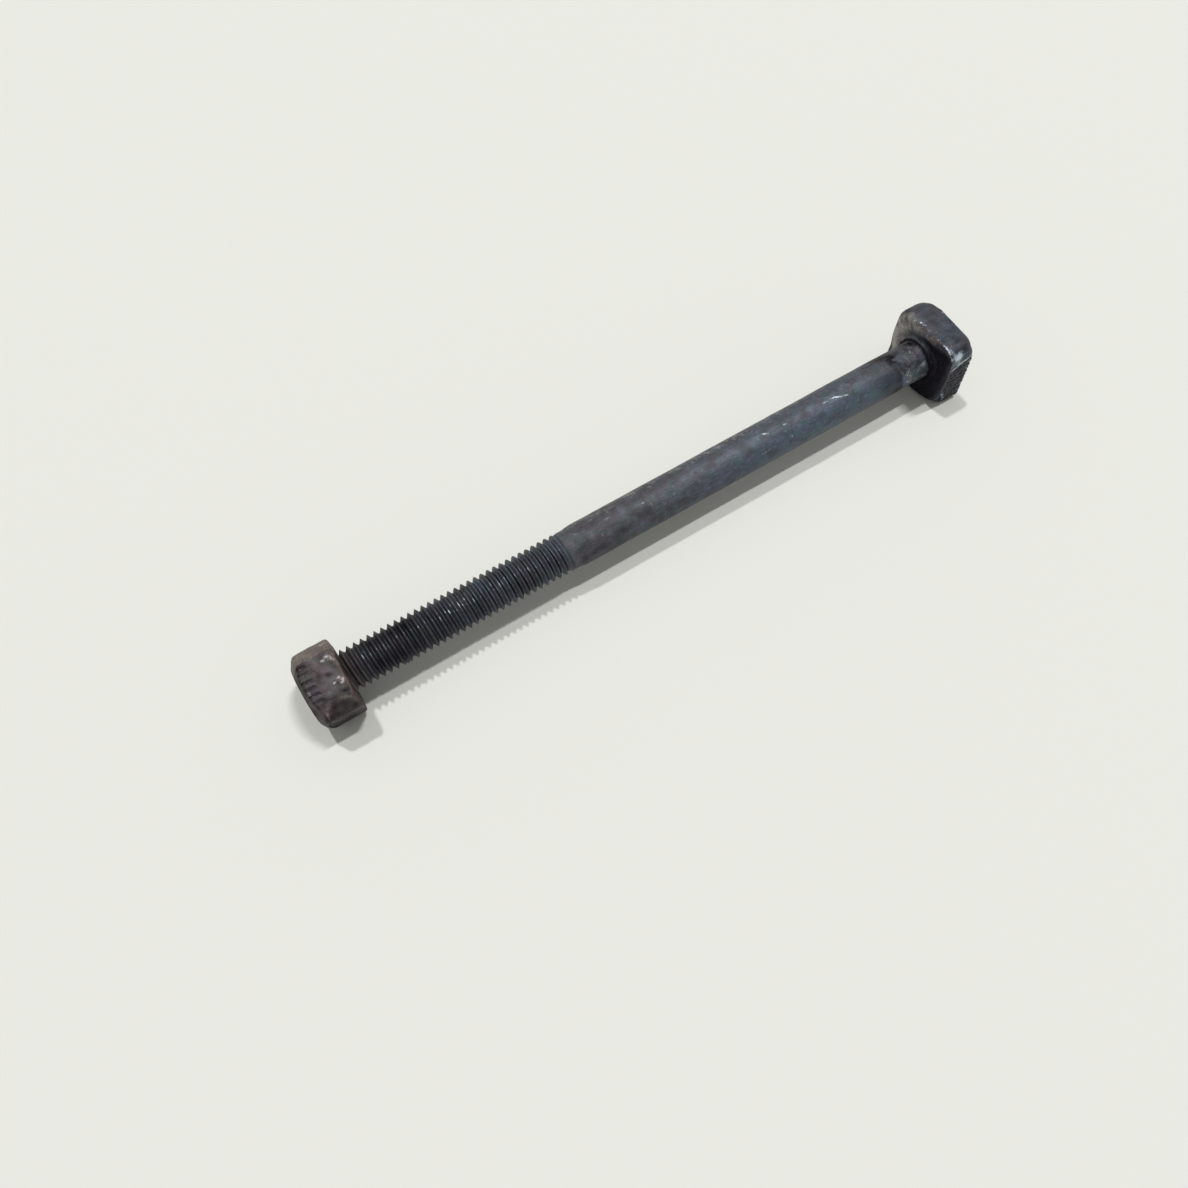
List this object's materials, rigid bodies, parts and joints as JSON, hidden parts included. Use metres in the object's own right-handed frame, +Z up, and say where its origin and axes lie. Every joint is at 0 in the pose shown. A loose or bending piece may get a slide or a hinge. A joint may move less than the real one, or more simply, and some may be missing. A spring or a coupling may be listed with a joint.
{
  "type": "square head bolt with square nut",
  "caption": "Long square head bolt with a plain shank, a coarse thread and a worn square nut run on to its end.",
  "frame": {"origin": "on the surface the bolt lies on, half way between the outer faces of nut and head", "axes": "+X along the bolt from the nut to the head, +Z up, with one flat of the head down"},
  "size_m": [0.1686, 0.019, 0.0191],
  "materials": {
    "bolt_steel": "old black oxide, worn to blue grey on the shank, near black in the thread",
    "nut_steel": "dark brown grey steel with light rust and worn edges"
  },
  "bodies": {
    "bolt": {"bolt": "bolt_steel"},
    "nut": {"nut": "nut_steel"}
  },
  "joints": [
    {"name": "nut_travel", "type": "slide", "parent": "bolt", "child": "nut", "axis": [1, 0, 0], "range_m": [-0.00635, 0.04921]}
  ]
}
